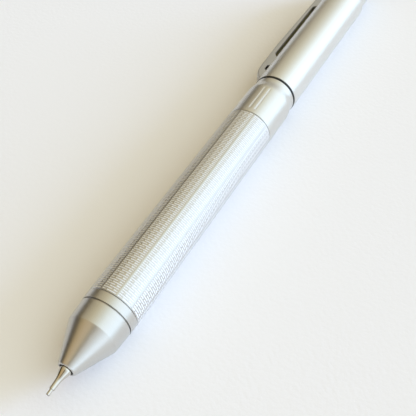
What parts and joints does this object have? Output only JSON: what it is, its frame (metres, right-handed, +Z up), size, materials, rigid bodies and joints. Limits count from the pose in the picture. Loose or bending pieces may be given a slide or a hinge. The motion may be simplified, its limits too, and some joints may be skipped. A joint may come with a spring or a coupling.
{
  "type": "twist-action multi-function mechanical pencil",
  "caption": "Slim metal writing instrument with a turned nose, etched grip, twist action, side clip and push cap; a fine pencil tip shows at the nose.",
  "frame": {"origin": "under the middle of the bounding box, on the plane that the pen lies on", "axes": "+Y along the pen from the writing tip to the push cap, +Z up with the index marks on top, -X towards the clip"},
  "size_m": [0.0126, 0.142, 0.011],
  "materials": {
    "satin_aluminium": "fine satin anodised, turned lines on the nose",
    "nickel": "polished nickel plate",
    "spring_steel": "drawn spring wire and plain steel",
    "brass": "drawn, unplated",
    "black_plastic": "matt moulded",
    "grey_plastic": "matt moulded",
    "red_plastic": "moulded",
    "white_rubber": "matt eraser rubber",
    "graphite": "polymer lead"
  },
  "bodies": {
    "lower_half": {"nose_cone": "satin_aluminium", "nose_ring": "satin_aluminium", "grip_barrel": "satin_aluminium", "index_ring": "satin_aluminium", "neck_tube": "brass", "guide_block": "grey_plastic", "bearing_washer": "black_plastic", "pencil_spring": "spring_steel", "black_tip": "nickel", "black_tube": "black_plastic", "black_slider": "black_plastic", "black_spring": "spring_steel", "red_tip": "nickel", "red_tube": "red_plastic", "red_slider": "red_plastic", "red_spring": "spring_steel"},
    "pencil_insert": {"pencil_slider": "grey_plastic", "pencil_barrel": "brass", "pencil_tip": "nickel", "lead_sleeve": "nickel", "lead_retainer": "black_plastic", "chuck_ring": "brass", "chuck_spring": "spring_steel"},
    "pencil_core": {"chuck": "brass", "lead_tube": "grey_plastic"},
    "lead": {"lead": "graphite"},
    "upper_half": {"upper_barrel": "satin_aluminium", "cam_tube": "grey_plastic", "rear_bush": "grey_plastic", "clip_post": "spring_steel", "knock_spring": "spring_steel"},
    "clip": {"clip": "satin_aluminium"},
    "button": {"knock_rod": "nickel", "eraser_holder": "grey_plastic", "eraser": "white_rubber"},
    "cap": {"push_cap": "satin_aluminium"}
  },
  "joints": [
    {"name": "twist", "type": "hinge", "parent": "lower_half", "child": "upper_half", "pos_m": [0.00082, 0.01563, 0.0055], "axis": [0, 1, 0], "range_deg": [0, 60]},
    {"name": "pencil_slide", "type": "slide", "parent": "lower_half", "child": "pencil_insert", "axis": [0, 1, 0], "range_m": [0, 0.0075], "deforming": ["pencil_spring"]},
    {"name": "button_press", "type": "slide", "parent": "upper_half", "child": "button", "axis": [0, -1, 0], "range_m": [0, 0.0015], "stiffness_N_per_m": 600, "springref_m": -0.004, "deforming": ["knock_spring"]},
    {"name": "core_slide", "type": "slide", "parent": "pencil_insert", "child": "pencil_core", "axis": [0, -0.999, -0.0444], "range_m": [0, 0.0015], "deforming": ["chuck_spring"]},
    {"name": "lead_feed", "type": "slide", "parent": "pencil_insert", "child": "lead", "axis": [0, -0.999, -0.0444], "range_m": [0, 0.0006]},
    {"name": "cap_pull", "type": "slide", "parent": "button", "child": "cap", "axis": [0, 1, 0], "range_m": [0, 0.016]},
    {"name": "clip_flex", "type": "hinge", "parent": "upper_half", "child": "clip", "pos_m": [-0.00443, 0.05563, 0.0055], "axis": [0, 0, -1], "range_deg": [0, 4], "stiffness_Nm_per_rad": 0.8, "springref_deg": -1.15}
  ],
  "couplings": [
    {"joint": "twist", "follows": "pencil_slide", "rad_per_m": 139.63},
    {"joint": "core_slide", "follows": "button_press", "ratio": 1},
    {"joint": "lead_feed", "follows": "button_press", "ratio": 0.3}
  ]
}
